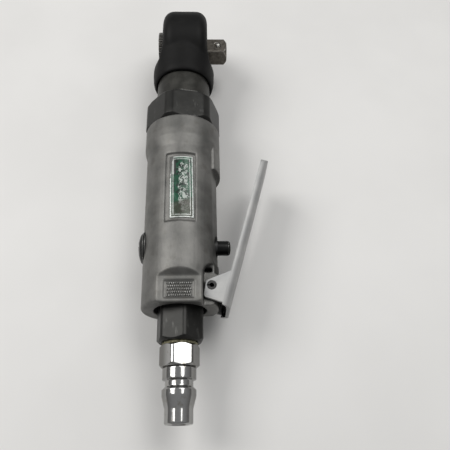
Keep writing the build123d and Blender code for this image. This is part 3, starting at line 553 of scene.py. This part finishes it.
def foil_label(low, high):
    """Green foil with silver frames and no print, rubbed white in the middle, torn at a corner."""
    s = Surface("foil_label", 0.15)
    middle_x = (low.x + high.x) / 2
    middle_y = (low.y + high.y) / 2
    turn = radians(LABEL_TURN)
    away_x = s.x - middle_x
    away_y = s.y - middle_y
    ripple = s.noise(6, 2).between(-0.10, 0.10)
    across = away_x * cos(turn) + away_y * sin(turn) + ripple
    along = away_y * cos(turn) - away_x * sin(turn)
    inset_x = across.size() * -1.0 + (high.x - low.x) / 2
    inset_y = along.size() * -1.0 + (high.y - low.y) / 2
    inset = inset_x.least(inset_y)
    outer = inset.ramp(0.62, 0.50)
    inner = inset.ramp(1.15, 1.22) * inset.ramp(1.55, 1.45)
    blotch = s.noise(1.9, 7, stretch=(1.0, 0.8, 1), turn=2.0)
    fleck = s.noise(0.5, 7, turn=5.0)
    worn = (across - 0.8).size().ramp(3.2, 1.2) * inset_y.ramp(1.6, 4.2)
    rubbed = (blotch * 0.55 + fleck * 0.45 + worn * 0.15).ramp(0.635, 0.665)
    dark = (s.noise(1.6, 6, turn=8.0) + worn * 0.06).ramp(0.52, 0.60)
    strip = (across + (high.x - low.x) / 2 - 2.6).ramp(0.15, -0.15)
    strip = strip * (along - 6.0).ramp(-0.2, 0.2) * inset.ramp(0.7, 0.9)
    line = (across + (high.x - low.x) / 2 - 1.8).ramp(0.1, -0.1)
    corner = (along * -1.0 + across * 0.35 + fleck * 1.5).ramp(6.4, 8.6)
    torn_line = (high.x - low.x) / 2 - LABEL_TURN
    ragged = s.noise(1.2, 5, turn=9.0) * 1.6
    tear = (across * -1.0 + along * 0.13 + ragged - torn_line).ramp(2.2, 2.6)
    green = blotch.ramp(0.3, 0.7).mix((0.004, 0.040, 0.020), (0.007, 0.085, 0.042))
    colour = (dark * 0.85).mix(green, (0.006, 0.012, 0.009))
    colour = (rubbed * 0.8).mix(colour, (0.52, 0.56, 0.53))
    colour = strip.mix(colour, line.mix((0.02, 0.024, 0.022), (0.30, 0.31, 0.30)))
    colour = (corner * 0.7).mix(colour, (0.045, 0.036, 0.026))
    lines = (outer + inner * 0.8).least(1.0) * fleck.ramp(0.34, 0.46)
    colour = lines.mix(colour, (0.58, 0.61, 0.59))
    colour = tear.mix(colour, fleck.mix((0.045, 0.047, 0.045), (0.14, 0.14, 0.135)))
    rough = rubbed.between(0.30, 0.55) + tear * 0.25
    height = rubbed * -0.5 + tear * -1.0 + fleck * 0.3
    return s.finish(colour, rough, height, 0.04)


def table_top():
    """Plain pale table with a faint mottle."""
    s = Surface("table_top", 0.0)
    cloud = s.noise(60, 3)
    colour = cloud.ramp(0.3, 0.7).mix((0.70, 0.695, 0.685), (0.735, 0.73, 0.72))
    return s.finish(colour, cloud.between(0.45, 0.55), s.noise(1.5, 2), 0.004)


casting = cast_aluminium()
nut_black = black_oxide("black_oxide")
cap_black = black_oxide("black_oxide_cap", (0.005, 0.005, 0.005), 0.3)
neck_steel = phosphated_steel()
boot_rubber = moulded_rubber()
plug_plate = bright_chrome()
lever_plate = dull_nickel()
anvil_steel = drive_steel("drive_steel")
knob_steel = drive_steel("knob_steel", (0.035, 0.033, 0.030))
gear_metal = plain_metal("gear_steel", (0.26, 0.26, 0.27), (0.38, 0.38, 0.39))
ground_metal = plain_metal("ground_steel", (0.48, 0.48, 0.50), (0.60, 0.60, 0.62), 0.12, 0.25)
iron = plain_metal("machined_iron", (0.18, 0.18, 0.18), (0.27, 0.27, 0.27), 0.4, 0.6)
brass = plain_metal("turned_brass", (0.55, 0.40, 0.16), (0.68, 0.52, 0.24), 0.2, 0.35)
bronze = plain_metal("sintered_bronze", (0.34, 0.21, 0.10), (0.46, 0.30, 0.15), 0.4, 0.6)
wire = plain_metal("drawn_wire", (0.18, 0.18, 0.19), (0.30, 0.30, 0.31), 0.2, 0.35)
pin_metal = plain_metal("roll_pin_steel", (0.02, 0.02, 0.02), (0.07, 0.07, 0.07), 0.3, 0.45)
ball_metal = plain_metal("polished_ball", (0.42, 0.41, 0.38), (0.62, 0.61, 0.58), 0.22, 0.34)
soft_washer = plain_metal("soft_washer", (0.32, 0.32, 0.32), (0.45, 0.45, 0.45), 0.4, 0.6)
seal = soft_matter("seal_rubber", (0.010, 0.010, 0.010), (0.022, 0.022, 0.022))
vane_board = soft_matter("vane_board", (0.15, 0.075, 0.03), (0.24, 0.13, 0.06))
tape = soft_matter("dried_tape", (0.060, 0.055, 0.026), (0.34, 0.32, 0.20), 0.9)

NODE_MATERIALS = {
    "valve_cap": cap_black, "valve_stem": cap_black, "lever_pin": pin_metal,
    "ring_gear": gear_metal, "rotor": gear_metal, "crankshaft": gear_metal, "pawl": gear_metal,
    "ratchet_yoke": gear_metal, "cylinder_liner": ground_metal, "rear_plate": iron,
    "front_plate": iron, "rear_bearing": ground_metal, "front_bearing": ground_metal,
    "thrust_plate": ground_metal, "crank_bearing": ground_metal, "thrust_washer": ground_metal,
    "pawl_pin": ground_metal, "knob_plunger": ground_metal, "anvil_washer": ground_metal,
    "retaining_ring": wire, "inlet_washer": soft_washer, "air_strainer": brass,
    "valve_seat": brass, "button_bush": pin_metal, "drive_bushing": bronze, "valve_cap_seal": seal,
    "stem_seal": seal, "valve_disc": seal, "valve_spring": wire, "plunger_spring": wire,
    "ball_spring": wire, "anvil": anvil_steel, "reverse_knob": knob_steel,
    "detent_ball": ball_metal, "ratchet_head": neck_steel,
}
for number in range(1, 6):
    NODE_MATERIALS[f"vane_{number}"] = vane_board
for number in range(1, 4):
    NODE_MATERIALS[f"planet_gear_{number}"] = gear_metal
    NODE_MATERIALS[f"planet_pin_{number}"] = ground_metal
for node, material in NODE_MATERIALS.items():
    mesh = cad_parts[node].data
    mesh.materials.clear()
    mesh.materials.append(material)


# ---------------------------------------------------------------- pieces
def span_of(node):
    low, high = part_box(node)
    return low / MM, high / MM


def body_casting():
    mesh = softened("body_casting", "motor_housing", 0.36, 5, 0.45)
    add_piece("body_casting", mesh, casting, "housing", "motor_housing")


def head_boot():
    mesh = softened("head_boot", "head_cover", 0.5, 24, 0.6)
    add_piece("head_boot", mesh, boot_rubber, "housing", "head_cover")


def hose_plug():
    section = divided(rounded(PLUG_SECTION, EDGE), 0.4)
    mesh = turned("hose_plug", section, PLUG_HEX, PLUG_HEX_SPAN)
    add_piece("hose_plug", mesh, plug_plate, "housing", "coupler_plug")


def inlet_nut():
    low, high = span_of("inlet_bushing")
    start = low.y
    hex_end = span_of("inlet_washer")[0].y
    corner = max(high.x, high.z)
    section = [
        (INLET_BORE, start + 1.0), (INLET_FACE_RADIUS, start), (corner - 1.3, start),
        (corner, start + 1.3), (corner, hex_end - 0.6), (corner - 0.6, hex_end),
        (INLET_THREAD_RADIUS, hex_end), (INLET_THREAD_RADIUS, high.y), (INLET_BORE, high.y),
    ]
    mesh = turned("inlet_nut", divided(rounded(section, EDGE), 0.4), INLET_HEX, (start, hex_end))
    add_piece("inlet_nut", mesh, nut_black, "housing", "inlet_bushing")


def collar_nut():
    low, high = span_of("clamp_nut")
    corner = max(high.x, high.z)
    lip = span_of("ratchet_head")[0].y + NUT_LIP_AHEAD
    bore = NUT_BORE
    section = [
        (NUT_SKIRT_RADIUS, low.y), (corner - 1.5, low.y), (corner, low.y + 1.5),
        (corner, high.y - 1.0),
        (corner - 1.0, high.y), (bore + 0.5, high.y), (bore, high.y - 0.5), (bore, lip),
        (NUT_SKIRT_RADIUS, lip),
    ]
    mesh = turned("collar_nut", divided(rounded(section, EDGE), 0.45), NUT_HEX, (low.y, high.y))
    add_piece("collar_nut", mesh, nut_black, "housing", "clamp_nut")


def ragged_tape():
    """Sealing tape squeezed out of the joint, uneven all round."""
    low, high = span_of("thread_tape")
    inner = TAPE_BORE
    outer = high.x
    section = [
        (inner, low.y), (outer - 0.35, low.y), (outer, (low.y + high.y) / 2),
        (outer - 0.3, high.y), (inner, high.y),
    ]

    def wobble(angle, station):
        place = Vector((3 * cos(angle), 1.5 * station, 3 * sin(angle)))
        return 0.25 * noise.noise(place) + 0.12 * noise.noise(place * 3) - 0.12

    mesh = turned("ragged_tape", divided(rounded(section, 0.2), 0.2), wobble=wobble)
    add_piece("ragged_tape", mesh, tape, "housing", "thread_tape")


def pressed_lever():
    mesh = edged("pressed_lever", "throttle_lever", 0.22)
    add_piece("pressed_lever", mesh, lever_plate, "lever", "throttle_lever")


def label_sheet():
    """Thin rippled foil bent over the pocket's floor, a little askew."""
    low, high = span_of("data_label")
    radius = high.z
    low.x, high.x = LABEL_SIDES
    low.y += LABEL_REAR_GAP
    high.y -= LABEL_REAR_GAP
    middle = (low + high) / 2
    turn = radians(LABEL_TURN)
    columns, rows = 40, 90
    bm = bmesh.new()
    grid = []
    for j in range(rows + 1):
        line = []
        for i in range(columns + 1):
            across = (high.x - low.x) * (i / columns - 0.5)
            along = (high.y - low.y) * (j / rows - 0.5)
            x = middle.x + across * cos(turn) - along * sin(turn)
            y = middle.y + along * cos(turn) + across * sin(turn)
            ripple = 0.05 * noise.noise(Vector((x * 0.7, y * 0.4, 0)))
            height = (radius * radius - x * x) ** 0.5 - 0.06 + ripple
            line.append(bm.verts.new((x * MM, y * MM, height * MM)))
        grid.append(line)
    for j in range(rows):
        for i in range(columns):
            bm.faces.new((grid[j][i], grid[j][i + 1], grid[j + 1][i + 1], grid[j + 1][i]))
    skin = bmesh.ops.extrude_face_region(bm, geom=bm.faces[:])
    for vert in skin["geom"]:
        if isinstance(vert, bmesh.types.BMVert):
            vert.co.z -= 0.15 * MM
    mesh = mesh_from(bm, "label_sheet")
    add_piece("label_sheet", mesh, foil_label(low, high), "housing", "data_label")


def plate_relief():
    """Even field of small raised diamonds in the rear recess, in place of what is cast there."""
    start = span_of("motor_housing")[0].y + RECESS_START
    rows, columns = 5, 12
    bm = bmesh.new()
    for row in range(rows):
        y = start + RECESS_LENGTH * (row + 1) / (rows + 1)
        for column in range(columns - row % 2):
            x = 0.82 * (column - (columns - 1) / 2 + 0.5 * (row % 2))
            stud = bmesh.ops.create_cube(bm, size=1.0)["verts"]
            bmesh.ops.rotate(bm, matrix=Matrix.Rotation(pi / 4, 3, "Z"), verts=stud)
            bmesh.ops.scale(bm, vec=(0.48 * MM, 0.72 * MM, 0.5 * MM), verts=stud)
            bmesh.ops.translate(bm, vec=(x * MM, y * MM, (RECESS_FLOOR + 0.08) * MM), verts=stud)
    bmesh.ops.bevel(
        bm, geom=bm.edges[:], offset=0.1 * MM, segments=2, affect="EDGES", profile=0.5
    )
    mesh = mesh_from(bm, "plate_relief")
    add_piece("plate_relief", mesh, casting, "housing")


body_casting()
head_boot()
hose_plug()
inlet_nut()
collar_nut()
ragged_tape()
pressed_lever()
label_sheet()
plate_relief()


# ---------------------------------------------------------------- table, light and view
def table():
    low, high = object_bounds()
    half = 2.5
    bm = bmesh.new()
    bmesh.ops.create_grid(bm, x_segments=8, y_segments=8, size=half)
    bmesh.ops.translate(bm, vec=(0, high.y / 2, low.z), verts=bm.verts)
    mesh = mesh_from(bm, "table")
    mesh.materials.append(table_top())
    plane = bpy.data.objects.new("table", mesh)
    bpy.context.scene.collection.objects.link(plane)
    plane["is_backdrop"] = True


def soft_light(name, place, target, size, power, colour):
    data = bpy.data.lights.new(name, "AREA")
    data.shape = "RECTANGLE"
    data.size, data.size_y = size
    data.energy = power
    data.color = colour
    lamp = bpy.data.objects.new(name, data)
    bpy.context.scene.collection.objects.link(lamp)
    direction = Vector(target) - Vector(place)
    lamp.location = place
    lamp.rotation_euler = direction.to_track_quat("-Z", "Y").to_euler()


def room_light():
    """Even pale surroundings, brighter overhead than near the table."""
    world = bpy.data.worlds.new("room")
    bpy.context.scene.world = world
    world.use_nodes = True
    tree = world.node_tree
    background = tree.nodes["Background"]
    place = tree.nodes.new("ShaderNodeTexCoord")
    parts = tree.nodes.new("ShaderNodeSeparateXYZ")
    tree.links.new(place.outputs["Generated"], parts.inputs[0])
    up = Field(tree, parts.outputs[2])
    colour = up.ramp(-0.1, 0.9).mix((0.42, 0.41, 0.40), (0.78, 0.79, 0.80))
    connect(tree, colour, background.inputs["Color"])
    background.inputs["Strength"].default_value = 0.46


def viewpoint():
    depression, yaw, roll = (radians(a) for a in (CAMERA_DEPRESSION, CAMERA_YAW, CAMERA_ROLL))
    forward = Vector((sin(yaw) * cos(depression), cos(yaw) * cos(depression), -sin(depression)))
    level = Vector((cos(yaw), -sin(yaw), 0))
    above = level.cross(forward)
    right = level * cos(roll) + above * sin(roll)
    up = above * cos(roll) - level * sin(roll)
    pose = Matrix((right, up, -forward)).transposed().to_4x4()
    pose.translation = Vector(CAMERA_PLACE) * MM
    data = bpy.data.cameras.new("camera")
    data.lens = LENS
    data.sensor_width = 36.0
    data.clip_start = 0.001
    camera = bpy.data.objects.new("camera", data)
    bpy.context.scene.collection.objects.link(camera)
    camera.matrix_world = Matrix.Rotation(radians(-TOOL_TURN), 4, "Y") @ pose
    bpy.context.scene.camera = camera


table()
soft_light("window", (-0.60, 0.35, 0.72), (0, 0.10, 0), (0.5, 0.5), 4.8, (1.0, 0.985, 0.96))
soft_light("ceiling", (0.40, 0.45, 0.95), (0.1, 0.10, 0), (0.7, 0.5), 5.0, (1.0, 0.99, 0.97))
room_light()
viewpoint()
bpy.context.scene.view_settings.view_transform = "Standard"
